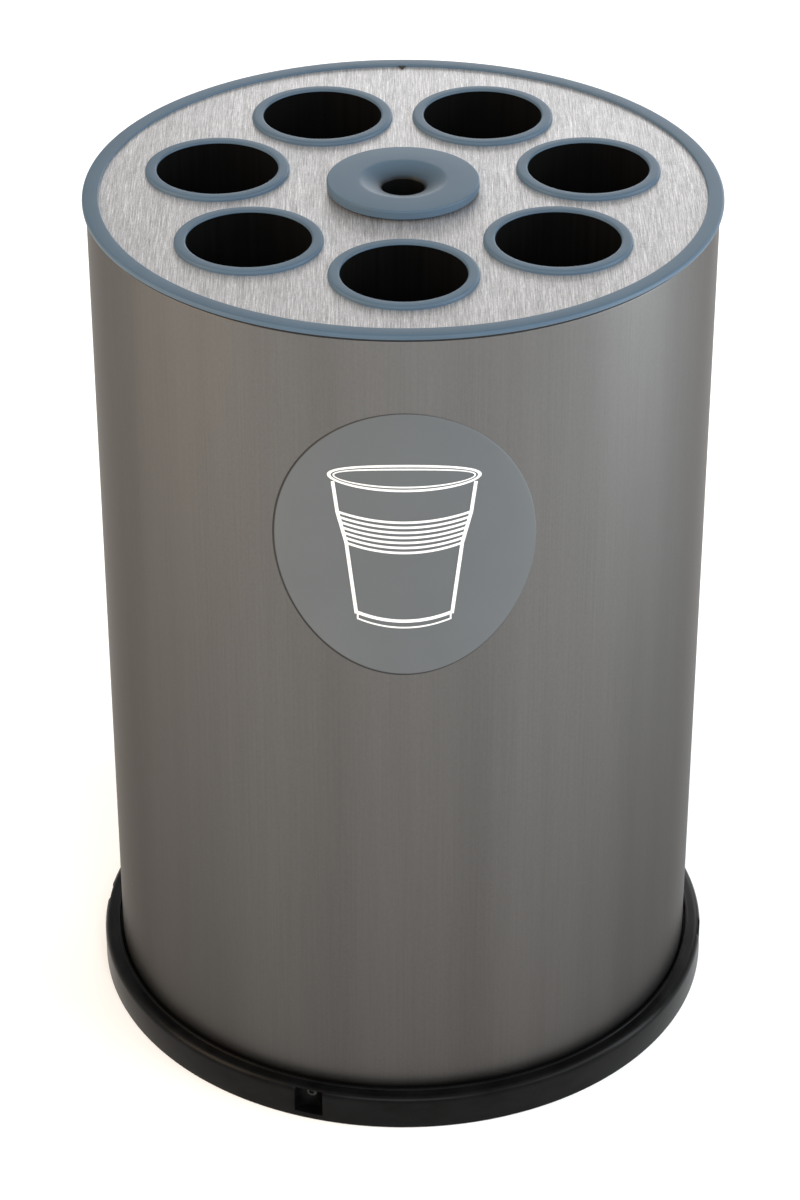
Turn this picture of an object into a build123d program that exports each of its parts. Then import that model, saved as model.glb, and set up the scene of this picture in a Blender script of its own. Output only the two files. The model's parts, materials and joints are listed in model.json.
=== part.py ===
from build123d import *
import os
from math import cos, radians, sin

# Round collector for used vending cups. Millimetres, +Z up, origin at the centre of the base on the
# floor, badge towards -Y. Ports are numbered counter-clockwise from the one above the badge.

# ================================================================ driving dimensions
HEIGHT = 570.0            # floor to the top of the lid's rim
BODY_R = 192.7            # outside of the steel shell
SHEET = 1.0               # shell thickness
RIM_R = 195.0             # outside of the lid's edge trim
BASE_R = 205.0            # outside of the plinth ring
BASE_TOP = 24.0           # top of the plinth ring

PORT_COUNT = 7
PORT_PITCH_R = 116.9      # circle through the port centres
PORT_R = 37.4             # clear radius, for cups of 70 to 73 mm
PORT_START = -90.0        # polar angle of port 1
PORT_ANGLES = [PORT_START + n * 360.0 / PORT_COUNT for n in range(PORT_COUNT)]

RECESS_PAIRS = (-107.5, -6.0)   # polar angles of two recesses in the plinth ring; two more face them
RECESS_ANGLES = [angle + turn for turn in (0, 180) for angle in RECESS_PAIRS]

BADGE_HALF_WIDTH = 77.4
BADGE_HALF_HEIGHT = 88.8
BADGE_Z = 430.2

GAP = 0.2                 # between pieces that only sit together
FIT = 0.05                # radial gap on screws and threads
LID_PLAY = 0.5            # radial play of the lid in the shell

# ================================================================ derived levels and radii
SHELL_IN_R = BODY_R - SHEET
SHELL_TOP = HEIGHT - 5.0
SHELL_BOTTOM = 6.2
SKIN = 0.8                            # brushed skin's thickness
SKIN_TOP = HEIGHT - 1.5
PANEL_TOP = SKIN_TOP - SKIN
PANEL_BOTTOM = PANEL_TOP - 5.5
RIM_BOTTOM = HEIGHT - 3.0             # underside of the trim's overhang
FLOOR_TOP = 7.5                       # upper face of the steel bottom
TUBE_BOTTOM = 52.0                    # lower end of the tubes, just above the grid
GUIDE_BOTTOM = 70.0                   # plate that keeps the tubes apart
GUIDE_TOP = GUIDE_BOTTOM + 3.0
SCREW_Z = 17.0                        # height of the plinth screws

os.makedirs("parts", exist_ok=True)


def save(part, name):
    """Label a finished piece and write its STEP file."""
    part.label = name
    export_step(part, f"parts/{name}.step")


def polar(radius, angle, height=0.0):
    """Point at a polar radius, an angle and a height."""
    return (radius * cos(radians(angle)), radius * sin(radians(angle)), height)


def outward(radius, angle, height):
    """Plane that faces away from the Z axis, with its origin at a polar point."""
    return Plane(origin=polar(radius, angle, height), x_dir=polar(1, angle + 90), z_dir=polar(1, angle))


def half_section(angle):
    """Half-section plane of a port: local x is the distance from the port's axis, local y the height."""
    return Plane(origin=polar(PORT_PITCH_R, angle), x_dir=polar(1, angle), z_dir=polar(1, angle - 90))


def port_axis(angle):
    """Vertical axis through a port's centre."""
    return Axis(polar(PORT_PITCH_R, angle), (0, 0, 1))


def corner(x, y):
    """Vertex of the current sketch at a point, to be rounded."""
    return vertices().sort_by_distance((x, y))[0]


HEAD_ROUND = 0.4          # of the head's height
SOCKET_R = 0.5            # of the head's radius
SOCKET_DEPTH = 0.6        # of the head's height


def pan_screw(seat, head_r, head_height, shank_r, length):
    """Pan-head screw with a hexagon socket. Its head stands on the seat plane, its shank goes down."""
    with BuildPart() as screw:
        with BuildSketch(seat):
            Circle(head_r)
        extrude(amount=head_height)
        head_edges = edges().filter_by(GeomType.CIRCLE).sort_by_distance(seat.origin + seat.z_dir * length)
        fillet(head_edges[0], HEAD_ROUND * head_height)
        with BuildSketch(seat.offset(head_height)):
            RegularPolygon(SOCKET_R * head_r, 6)
        extrude(amount=-SOCKET_DEPTH * head_height, mode=Mode.SUBTRACT)
        with BuildSketch(seat):
            Circle(shank_r)
        extrude(amount=-length)
    return screw.part


# ================================================================ stand
# ---------------------------------------------------------------- body shell
LAP_WIDTH = 14.0          # lap seam of the rolled sheet, down the back
LAP_STEP = 0.8
LAP_BOTTOM = BASE_TOP + 5.0
LAP_TOP = SHELL_TOP - 5.0
PLINTH_SCREW_R = 2.0
PLINTH_HOLE_R = PLINTH_SCREW_R + FIT

with BuildPart() as body_shell:
    with BuildSketch(Plane.XY.offset(SHELL_BOTTOM)):
        Circle(BODY_R)
        Circle(SHELL_IN_R, mode=Mode.SUBTRACT)
    extrude(amount=SHELL_TOP - SHELL_BOTTOM)
    with BuildSketch(Plane.XY.offset(LAP_BOTTOM)):
        Circle(BODY_R + LAP_STEP)
        Circle(BODY_R - SHEET / 2, mode=Mode.SUBTRACT)
        with Locations((0, BODY_R)):
            Rectangle(LAP_WIDTH, LAP_WIDTH, mode=Mode.INTERSECT)
    extrude(amount=LAP_TOP - LAP_BOTTOM)
    for angle in RECESS_ANGLES:
        with Locations(outward(BODY_R, angle, SCREW_Z)):
            Cylinder(PLINTH_HOLE_R, 4 * SHEET, mode=Mode.SUBTRACT)
save(body_shell.part, "body_shell")

# ---------------------------------------------------------------- plinth ring
SLOT_BOTTOM = SHELL_BOTTOM - GAP  # slot that holds the shell's lower edge
SLOT_OUT_R = BODY_R + GAP / 2
SLOT_IN_R = SHELL_IN_R - GAP / 2
INNER_WALL_R = 188.0              # wall inside the shell
INNER_WALL_TOP = BASE_TOP + 2.0
LEDGE_R = 176.0                   # ledge under the steel bottom
LEDGE_BOTTOM = 2.0
LEDGE_TOP = FLOOR_TOP - 1.5
FOOT_R = 190.0                    # inside of the ring's foot
FOOT_CHAMFER = 0.8
GROOVE_R = BODY_R + 2.0           # shadow groove beside the shell
GROOVE_BOTTOM = BASE_TOP - 4.5
LIP_R = GROOVE_R + 1.7
LIP_TOP = BASE_TOP + 0.9
LIP_ROUND = 0.5
EDGE_ROUND = 5.0
CAVITY_IN_R = 194.5               # moulding cavity in the underside, closed off at each recess
CAVITY_OUT_R = 198.5
CAVITY_TOP = 9.0
CAVITY_STOP = 28.0                # length of solid ring at a recess
RECESS_R = 9.5                    # half-moon recesses in the outer wall, under a thin top edge
RECESS_DEPTH = 9.0
RECESS_FLOOR = 4.5
RECESS_TOP = BASE_TOP - 1.4
SEAT_R = BASE_R - RECESS_DEPTH    # where the screw heads bear
SEAT_FLAT_R = 4.4
HOLE_LENGTH = 20.0

with BuildPart() as base_ring:
    with BuildSketch(Plane.XZ):
        with BuildLine():
            Polyline(
                (LEDGE_R, LEDGE_BOTTOM),
                (FOOT_R, LEDGE_BOTTOM),
                (FOOT_R, 0),
                (BASE_R, 0),
                (BASE_R, BASE_TOP),
                (LIP_R, BASE_TOP),
                (LIP_R, LIP_TOP),
                (GROOVE_R, LIP_TOP),
                (GROOVE_R, GROOVE_BOTTOM),
                (SLOT_OUT_R, GROOVE_BOTTOM),
                (SLOT_OUT_R, SLOT_BOTTOM),
                (SLOT_IN_R, SLOT_BOTTOM),
                (SLOT_IN_R, INNER_WALL_TOP),
                (INNER_WALL_R, INNER_WALL_TOP),
                (INNER_WALL_R, LEDGE_TOP),
                (LEDGE_R, LEDGE_TOP),
                close=True,
            )
        make_face()
        fillet(corner(BASE_R, BASE_TOP), EDGE_ROUND)
        fillet(corner(LIP_R, LIP_TOP), LIP_ROUND)
        chamfer(corner(BASE_R, 0), FOOT_CHAMFER)
    revolve(axis=Axis.Z)
    with BuildSketch():
        Circle(CAVITY_OUT_R)
        Circle(CAVITY_IN_R, mode=Mode.SUBTRACT)
        for angle in RECESS_ANGLES:
            with Locations(Location(polar(CAVITY_OUT_R, angle), angle)):
                Rectangle(CAVITY_STOP, CAVITY_STOP, mode=Mode.SUBTRACT)
    extrude(amount=CAVITY_TOP, mode=Mode.SUBTRACT)
    with BuildSketch(Plane.XY.offset(RECESS_FLOOR)):
        for angle in RECESS_ANGLES:
            with Locations(polar(SEAT_R + RECESS_R, angle)):
                Circle(RECESS_R)
    extrude(amount=RECESS_TOP - RECESS_FLOOR, mode=Mode.SUBTRACT)
    for angle in RECESS_ANGLES:
        with BuildSketch(outward(SEAT_R, angle, SCREW_Z)):
            Circle(SEAT_FLAT_R)
        extrude(amount=RECESS_DEPTH / 2, mode=Mode.SUBTRACT)
        with Locations(outward(SLOT_IN_R, angle, SCREW_Z)):
            Cylinder(PLINTH_HOLE_R, HOLE_LENGTH, mode=Mode.SUBTRACT)
save(base_ring.part, "base_ring")

# ---------------------------------------------------------------- plinth screws, one in each recess
PLINTH_HEAD_R = 3.8
PLINTH_HEAD = 2.2
PLINTH_SCREW_LENGTH = 8.2

plinth_screws = [
    pan_screw(outward(SEAT_R, angle, SCREW_Z), PLINTH_HEAD_R, PLINTH_HEAD, PLINTH_SCREW_R, PLINTH_SCREW_LENGTH)
    for angle in RECESS_ANGLES
]
with BuildPart() as base_screws:
    add(plinth_screws)
save(base_screws.part, "base_screws")

# ---------------------------------------------------------------- steel bottom
with BuildPart() as floor_disc:
    with BuildSketch(Plane.XY.offset(LEDGE_TOP)):
        Circle(INNER_WALL_R - GAP)
    extrude(amount=FLOOR_TOP - LEDGE_TOP)
save(floor_disc.part, "floor_disc")

# ---------------------------------------------------------------- stiffening hoop in the shell's mouth
HOOP_IN_R = 181.0
HOOP_OUT_R = SHELL_IN_R - FIT
HOOP_LEG = 1.5
HOOP_TOP = HEIGHT - 9.8
HOOP_DEPTH = 22.0
HOOP_BEND = 2.0

with BuildPart() as top_hoop:
    with BuildSketch(Plane.XZ):
        with BuildLine():
            Polyline(
                (HOOP_OUT_R, HOOP_TOP),
                (HOOP_IN_R, HOOP_TOP),
                (HOOP_IN_R, HOOP_TOP - HOOP_LEG),
                (HOOP_OUT_R - HOOP_LEG, HOOP_TOP - HOOP_LEG),
                (HOOP_OUT_R - HOOP_LEG, HOOP_TOP - HOOP_DEPTH),
                (HOOP_OUT_R, HOOP_TOP - HOOP_DEPTH),
                close=True,
            )
        make_face()
        fillet(corner(HOOP_OUT_R - HOOP_LEG, HOOP_TOP - HOOP_LEG), HOOP_BEND)
    revolve(axis=Axis.Z)
save(top_hoop.part, "top_hoop")

# ---------------------------------------------------------------- badge and its raised pictogram
BADGE_IN_R = BODY_R + 0.02        # the glue's thickness off the shell
BADGE_OUT_R = BODY_R + 0.9
INK_OUT_R = BADGE_OUT_R + 0.22
BADGE_BAND = 2 * BADGE_HALF_HEIGHT + 4.0   # height of the rings that trim badge and pictogram

with BuildPart() as badge_plate:
    with BuildSketch(Plane.XZ):
        with Locations((0, BADGE_Z)):
            Ellipse(BADGE_HALF_WIDTH, BADGE_HALF_HEIGHT)
    extrude(amount=BASE_R)
    with BuildSketch(Plane.XY.offset(BADGE_Z - BADGE_BAND / 2)):
        Circle(BADGE_OUT_R)
        Circle(BADGE_IN_R, mode=Mode.SUBTRACT)
    extrude(amount=BADGE_BAND, mode=Mode.INTERSECT)
save(badge_plate.part, "badge_plate")

STROKE = 2.1                      # widths of the drawn lines
RIB_STROKE = 1.5
THIN_STROKE = 1.0
CUP_RIM_Z = BADGE_Z + 46.8        # a plain ribbed cup: rim, straight wall, ribbed waist, wall, foot
CUP_RIM_HALF = 44.6
CUP_RIM_RISE = 9.0
MOUTH_HALF = 41.4
MOUTH_RISE = 6.5
WALL_TOP_Z = BADGE_Z + 42.5
WALL_TOP_HALF = 41.4
RIB_TOP_Z = BADGE_Z + 22.5
RIB_BOTTOM_Z = BADGE_Z + 2.0
RIB_TOP_HALF = 38.9
RIB_BOTTOM_HALF = 33.8
RIB_COUNT = 7
WALL_FOOT_Z = BADGE_Z - 45.0
WALL_FOOT_HALF = 28.2
FOOT_Z = BADGE_Z - 49.5
FOOT_HALF = 27.4
SAG = 5.3                         # how far the round edges bow down in front

# half-width, height and line width of each bowed line, from the foot up
cup_lines = [(FOOT_HALF, FOOT_Z, THIN_STROKE), (WALL_FOOT_HALF, WALL_FOOT_Z, STROKE)]
for n in range(RIB_COUNT):
    share = n / (RIB_COUNT - 1)
    half = RIB_TOP_HALF + share * (RIB_BOTTOM_HALF - RIB_TOP_HALF)
    cup_lines.append((half, RIB_TOP_Z + share * (RIB_BOTTOM_Z - RIB_TOP_Z), RIB_STROKE))

with BuildPart() as cup_pictogram:
    with BuildSketch(Plane.XZ):
        with Locations((0, CUP_RIM_Z)):
            Ellipse(CUP_RIM_HALF, CUP_RIM_RISE)
            Ellipse(CUP_RIM_HALF - STROKE, CUP_RIM_RISE - RIB_STROKE, mode=Mode.SUBTRACT)
            Ellipse(MOUTH_HALF, MOUTH_RISE)
            Ellipse(MOUTH_HALF - THIN_STROKE, MOUTH_RISE - THIN_STROKE, mode=Mode.SUBTRACT)
        for half, height, width in cup_lines:
            with BuildLine():
                ThreePointArc((-half, height), (0, height - SAG), (half, height))
            trace(line_width=width)
        for side in (-1, 1):
            with BuildLine():
                Polyline(
                    (side * WALL_TOP_HALF, WALL_TOP_Z),
                    (side * RIB_TOP_HALF, RIB_TOP_Z),
                    (side * RIB_BOTTOM_HALF, RIB_BOTTOM_Z),
                    (side * WALL_FOOT_HALF, WALL_FOOT_Z - STROKE / 2),
                )
            trace(line_width=STROKE)
            with BuildLine():
                Line((side * FOOT_HALF, WALL_FOOT_Z), (side * FOOT_HALF, FOOT_Z - THIN_STROKE / 2))
            trace(line_width=THIN_STROKE)
    extrude(amount=BASE_R)
    # keep only the thin layer that lies on the badge
    with BuildSketch(Plane.XY.offset(BADGE_Z - BADGE_BAND / 2)):
        Circle(2 * BASE_R)
        Circle(INK_OUT_R, mode=Mode.SUBTRACT)
        Circle(BADGE_OUT_R)
    extrude(amount=BADGE_BAND, mode=Mode.SUBTRACT)
save(cup_pictogram.part, "cup_pictogram")

# ================================================================ lid
NECK_R = 41.0                     # outside of a port collar's neck
PORT_HOLE_R = NECK_R + GAP        # hole for it in skin and panel
SPIGOT_R = 30.0                   # funnel's centring spigot
CENTRE_HOLE_R = SPIGOT_R + 2 * GAP
PANEL_R = 188.0
SKIN_R = 186.5
STIRRER_SCREW_R = 1.5
STIRRER_SCREW_PITCH_R = 37.0
STIRRER_SCREW_COUNT = 4
STIRRER_SCREW_START = 45.0
STIRRER_SCREW_GRIP = 4.4          # length of its thread in the panel

# ---------------------------------------------------------------- panel and brushed skin
with BuildPart() as lid_panel:
    with BuildSketch(Plane.XY.offset(PANEL_BOTTOM)):
        Circle(PANEL_R)
        Circle(CENTRE_HOLE_R, mode=Mode.SUBTRACT)
        with PolarLocations(PORT_PITCH_R, PORT_COUNT, start_angle=PORT_START):
            Circle(PORT_HOLE_R, mode=Mode.SUBTRACT)
    extrude(amount=PANEL_TOP - PANEL_BOTTOM)
    with BuildSketch(Plane.XY.offset(PANEL_BOTTOM)):
        with PolarLocations(STIRRER_SCREW_PITCH_R, STIRRER_SCREW_COUNT, start_angle=STIRRER_SCREW_START):
            Circle(STIRRER_SCREW_R + FIT)
    extrude(amount=STIRRER_SCREW_GRIP + GAP, mode=Mode.SUBTRACT)
save(lid_panel.part, "lid_panel")

with BuildPart() as brushed_plate:
    with BuildSketch(Plane.XY.offset(PANEL_TOP)):
        Circle(SKIN_R)
        Circle(CENTRE_HOLE_R, mode=Mode.SUBTRACT)
        with PolarLocations(PORT_PITCH_R, PORT_COUNT, start_angle=PORT_START):
            Circle(PORT_HOLE_R, mode=Mode.SUBTRACT)
    extrude(amount=SKIN)
save(brushed_plate.part, "brushed_plate")

# ---------------------------------------------------------------- edge trim, a C profile round the lid
TRIM_IN_R = 185.0                 # lips above the skin and under the panel
TRIM_WEB_R = SHELL_IN_R - LID_PLAY   # web that centres the lid in the shell
TRIM_BOTTOM = PANEL_BOTTOM - 1.7
TRIM_IN_ROUND = 0.7
TRIM_TOP_ROUND = 1.6
TRIM_UNDER_ROUND = 0.8
KEY_DEPTH = 4.6                   # small wedge at the back, where the profile closes
KEY_HALF_WIDTH = 2.3
KEY_RISE = 0.9
KEY_ROOT = 0.4                    # how far it runs into the profile

with BuildPart() as rim_trim:
    with BuildSketch(Plane.XZ):
        with BuildLine():
            Polyline(
                (TRIM_IN_R, SKIN_TOP),
                (TRIM_IN_R, HEIGHT),
                (RIM_R, HEIGHT),
                (RIM_R, RIM_BOTTOM),
                (TRIM_WEB_R, RIM_BOTTOM),
                (TRIM_WEB_R, TRIM_BOTTOM),
                (TRIM_IN_R, TRIM_BOTTOM),
                (TRIM_IN_R, PANEL_BOTTOM - GAP / 2),
                (PANEL_R + GAP / 2, PANEL_BOTTOM - GAP / 2),
                (PANEL_R + GAP / 2, SKIN_TOP),
                close=True,
            )
        make_face()
        fillet(corner(TRIM_IN_R, HEIGHT), TRIM_IN_ROUND)
        fillet(corner(RIM_R, HEIGHT), TRIM_TOP_ROUND)
        fillet(corner(RIM_R, RIM_BOTTOM), TRIM_UNDER_ROUND)
    revolve(axis=Axis.Z)
    with BuildSketch(Plane.XY.offset(SKIN_TOP)):
        with BuildLine():
            Polyline(
                (-KEY_HALF_WIDTH, TRIM_IN_R + KEY_ROOT),
                (0, TRIM_IN_R - KEY_DEPTH),
                (KEY_HALF_WIDTH, TRIM_IN_R + KEY_ROOT),
                close=True,
            )
        make_face()
    extrude(amount=KEY_RISE)
save(rim_trim.part, "rim_trim")

# ---------------------------------------------------------------- gasket between trim and shell
with BuildPart() as lid_seal:
    with BuildSketch(Plane.XY.offset(SHELL_TOP)):
        Circle(BODY_R - GAP)
        Circle(TRIM_WEB_R + GAP, mode=Mode.SUBTRACT)
    extrude(amount=RIM_BOTTOM - SHELL_TOP)
save(lid_seal.part, "lid_seal")

# ---------------------------------------------------------------- ports: collar and tube
TUBE_WALL = 1.4
TUBE_R = PORT_R + TUBE_WALL
FLANGE_R = 44.4
FLANGE_TOP = SKIN_TOP + 2.6
FLANGE_ROUND = 1.6
MOUTH_ROUND = 1.2
LIP_THICKNESS = 1.4               # lip that covers the tube's upper edge
NECK_BOTTOM = PANEL_BOTTOM - 6.7
STOP_RIB = 1.2                    # ribs on the tube, above and below its guide
STOP_RIB_HEIGHT = 2.0

for number, angle in enumerate(PORT_ANGLES, start=1):
    with BuildPart() as port_ring:
        with BuildSketch(half_section(angle)):
            with BuildLine():
                Polyline(
                    (TUBE_R + FIT, NECK_BOTTOM),
                    (NECK_R, NECK_BOTTOM),
                    (NECK_R, SKIN_TOP),
                    (FLANGE_R, SKIN_TOP),
                    (FLANGE_R, FLANGE_TOP),
                    (PORT_R, FLANGE_TOP),
                    (PORT_R, FLANGE_TOP - LIP_THICKNESS),
                    (TUBE_R + FIT, FLANGE_TOP - LIP_THICKNESS),
                    close=True,
                )
            make_face()
            fillet(corner(FLANGE_R, FLANGE_TOP), FLANGE_ROUND)
            fillet(corner(PORT_R, FLANGE_TOP), MOUTH_ROUND)
        revolve(axis=port_axis(angle))
    save(port_ring.part, f"port_ring_{number}")

    with BuildPart() as cup_tube:
        with BuildSketch(half_section(angle)):
            with BuildLine():
                Polyline(
                    (PORT_R, TUBE_BOTTOM),
                    (TUBE_R, TUBE_BOTTOM),
                    (TUBE_R, GUIDE_BOTTOM - GAP - STOP_RIB_HEIGHT),
                    (TUBE_R + STOP_RIB, GUIDE_BOTTOM - GAP),
                    (TUBE_R, GUIDE_BOTTOM - GAP),
                    (TUBE_R, GUIDE_TOP + GAP),
                    (TUBE_R + STOP_RIB, GUIDE_TOP + GAP),
                    (TUBE_R + STOP_RIB, GUIDE_TOP + GAP + STOP_RIB_HEIGHT),
                    (TUBE_R, GUIDE_TOP + GAP + 1.5 * STOP_RIB_HEIGHT),
                    (TUBE_R, FLANGE_TOP - LIP_THICKNESS),
                    (PORT_R, FLANGE_TOP - LIP_THICKNESS),
                    close=True,
                )
            make_face()
        revolve(axis=port_axis(angle))
    save(cup_tube.part, f"cup_tube_{number}")

# ---------------------------------------------------------------- ring nuts that clamp the collars
NUT_R = 46.0
NUT_HEIGHT = 6.0
NUT_GRIPS = 12
NUT_GRIP_R = 2.5
NUT_GRIP_PITCH_R = NUT_R + 1.0

with BuildPart() as port_nuts:
    with BuildSketch(Plane.XY.offset(PANEL_BOTTOM - NUT_HEIGHT)):
        with PolarLocations(PORT_PITCH_R, PORT_COUNT, start_angle=PORT_START):
            Circle(NUT_R)
            Circle(NECK_R + FIT, mode=Mode.SUBTRACT)
            with PolarLocations(NUT_GRIP_PITCH_R, NUT_GRIPS):
                Circle(NUT_GRIP_R, mode=Mode.SUBTRACT)
    extrude(amount=NUT_HEIGHT)
save(port_nuts.part, "port_nuts")

# ---------------------------------------------------------------- centre tube for stirrers and dregs
STIRRER_IN_R = SPIGOT_R + 0.7
STIRRER_OUT_R = STIRRER_IN_R + 1.5
STIRRER_FLANGE_R = 42.0
STIRRER_FLANGE = 3.0
STIRRER_BEND = 1.5
STIRRER_HEAD_R = 2.8
STIRRER_HEAD = 1.8

with BuildPart() as stirrer_tube:
    with BuildSketch(Plane.XZ):
        with BuildLine():
            Polyline(
                (STIRRER_IN_R, TUBE_BOTTOM),
                (STIRRER_OUT_R, TUBE_BOTTOM),
                (STIRRER_OUT_R, PANEL_BOTTOM - STIRRER_FLANGE),
                (STIRRER_FLANGE_R, PANEL_BOTTOM - STIRRER_FLANGE),
                (STIRRER_FLANGE_R, PANEL_BOTTOM),
                (STIRRER_IN_R, PANEL_BOTTOM),
                close=True,
            )
        make_face()
        fillet(corner(STIRRER_OUT_R, PANEL_BOTTOM - STIRRER_FLANGE), STIRRER_BEND)
    revolve(axis=Axis.Z)
    with BuildSketch(Plane.XY.offset(PANEL_BOTTOM)):
        with PolarLocations(STIRRER_SCREW_PITCH_R, STIRRER_SCREW_COUNT, start_angle=STIRRER_SCREW_START):
            Circle(STIRRER_SCREW_R + FIT)
    extrude(amount=-STIRRER_FLANGE, mode=Mode.SUBTRACT)
save(stirrer_tube.part, "stirrer_tube")

screw_seats = [
    Plane(
        origin=polar(STIRRER_SCREW_PITCH_R, STIRRER_SCREW_START + n * 360 / STIRRER_SCREW_COUNT, PANEL_BOTTOM - STIRRER_FLANGE),
        z_dir=(0, 0, -1),
    )
    for n in range(STIRRER_SCREW_COUNT)
]
flange_screws = [
    pan_screw(seat, STIRRER_HEAD_R, STIRRER_HEAD, STIRRER_SCREW_R, STIRRER_FLANGE + STIRRER_SCREW_GRIP)
    for seat in screw_seats
]
with BuildPart() as stirrer_tube_screws:
    add(flange_screws)
save(stirrer_tube_screws.part, "stirrer_tube_screws")

# ---------------------------------------------------------------- lower guide of the tubes: hub, hoop, spokes
GUIDE_PLAY = 0.3
GUIDE_HUB_R = PORT_PITCH_R - TUBE_R - GUIDE_PLAY       # just inside the ring of tubes
GUIDE_HOOP_IN_R = PORT_PITCH_R + TUBE_R + GUIDE_PLAY   # just outside it
GUIDE_HOOP_R = 176.0
GUIDE_SKIRT = 8.0
GUIDE_SKIRT_WALL = 2.0
SPOKE_WIDTH = 16.0

with BuildPart() as guide_hub:
    with BuildSketch(Plane.XY.offset(GUIDE_BOTTOM)):
        Circle(GUIDE_HUB_R)
        Circle(STIRRER_OUT_R + GAP, mode=Mode.SUBTRACT)
    extrude(amount=GUIDE_TOP - GUIDE_BOTTOM)
save(guide_hub.part, "guide_hub")

with BuildPart() as guide_hoop:
    with BuildSketch(Plane.XY.offset(GUIDE_BOTTOM)):
        Circle(GUIDE_HOOP_R)
        Circle(GUIDE_HOOP_IN_R, mode=Mode.SUBTRACT)
    extrude(amount=GUIDE_TOP - GUIDE_BOTTOM)
    with BuildSketch(Plane.XY.offset(GUIDE_BOTTOM)):
        Circle(GUIDE_HOOP_R)
        Circle(GUIDE_HOOP_R - GUIDE_SKIRT_WALL, mode=Mode.SUBTRACT)
    extrude(amount=-GUIDE_SKIRT)
save(guide_hoop.part, "guide_hoop")

with BuildPart() as guide_spokes:
    with BuildSketch(Plane.XY.offset(GUIDE_BOTTOM)):
        with PolarLocations(PORT_PITCH_R, PORT_COUNT, start_angle=PORT_START + 180 / PORT_COUNT):
            Rectangle(PORT_PITCH_R, SPOKE_WIDTH)
        Circle(GUIDE_HOOP_IN_R, mode=Mode.INTERSECT)
        Circle(GUIDE_HUB_R, mode=Mode.SUBTRACT)
    extrude(amount=GUIDE_TOP - GUIDE_BOTTOM)
save(guide_spokes.part, "guide_spokes")

# ================================================================ funnel, lifted out of the lid
DISC_R = 46.5
DISC_BOTTOM = HEIGHT
DISC_TOP = HEIGHT + 5.4
DISC_FOOT_R = 42.5                # foot that leaves a shadow gap under the disc
DISH_R = 26.5                     # shallow dish that leads to the throat
DISH_FLOOR_R = 15.0
DISH_BOTTOM = DISC_TOP - 4.2
THROAT_R = 13.0
THROAT_TOP = DISH_BOTTOM - 2.0
SPOUT_R = 15.0
SPOUT_TOP = SKIN_TOP - 4.0        # where the web to the spigot begins
WEB_TOP = SKIN_TOP - 1.5
DISC_TOP_ROUND = 1.0
DISC_UNDER_ROUND = 0.6
DISH_EDGE_ROUND = 6.0
DISH_FLOOR_ROUND = 1.5
SPOUT_BOTTOM = 530.0
SPIGOT_BOTTOM = PANEL_BOTTOM - 8.0
SPIGOT_WALL = 2.0

with BuildPart() as funnel:
    with BuildSketch(Plane.XZ):
        with BuildLine():
            Polyline(
                (THROAT_R, SPOUT_BOTTOM),
                (SPOUT_R, SPOUT_BOTTOM),
                (SPOUT_R, SPOUT_TOP),
                (SPIGOT_R - SPIGOT_WALL, WEB_TOP),
                (SPIGOT_R - SPIGOT_WALL, SPIGOT_BOTTOM),
                (SPIGOT_R, SPIGOT_BOTTOM),
                (SPIGOT_R, SKIN_TOP + GAP),
                (DISC_FOOT_R, SKIN_TOP + GAP),
                (DISC_FOOT_R, DISC_BOTTOM),
                (DISC_R, DISC_BOTTOM),
                (DISC_R, DISC_TOP),
                (DISH_R, DISC_TOP),
                (DISH_FLOOR_R, DISH_BOTTOM),
                (THROAT_R, THROAT_TOP),
                close=True,
            )
        make_face()
        fillet(corner(DISC_R, DISC_TOP), DISC_TOP_ROUND)
        fillet(corner(DISC_R, DISC_BOTTOM), DISC_UNDER_ROUND)
        fillet(corner(DISH_R, DISC_TOP), DISH_EDGE_ROUND)
        fillet(corner(DISH_FLOOR_R, DISH_BOTTOM), DISH_FLOOR_ROUND)
    revolve(axis=Axis.Z)
save(funnel.part, "funnel")

# ================================================================ tray and grid
TRAY_BOTTOM = FLOOR_TOP + GAP
SHEET_IN_TRAY = 1.5               # thickness of the tray's bottom and of the lap that carries it
LAP_IN_R = 158.5
TRAY_FLOOR_R = 161.5
TRAY_FLOOR_BOTTOM = TRAY_BOTTOM + SHEET_IN_TRAY
WALL_FOOT_IN_R = 162.0            # the wall leans outwards from its foot to the grid's ledge
WALL_FOOT_OUT_R = 164.0
GRID_BOTTOM = 40.2
GRID_TOP = GRID_BOTTOM + 3.0
GRID_R = 168.5
LEDGE_SURFACE = GRID_BOTTOM - GAP
LEDGE_WALL = 2.0
LEDGE_IN_R = 165.0
LEDGE_OUT_R = 169.5
UNDER_LEDGE_IN_R = 167.0
UNDER_LEDGE_OUT_R = 171.5
TRAY_TOP = 49.0
TRAY_RIM_R = 176.0
TRAY_RIM_IN_R = 170.6
TRAY_RIM_UNDER_R = 172.5
TRAY_RIM_HEIGHT = 2.0
TRAY_RIM_ROUND = 0.8
TRAY_FOOT_ROUND = 1.2

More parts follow.
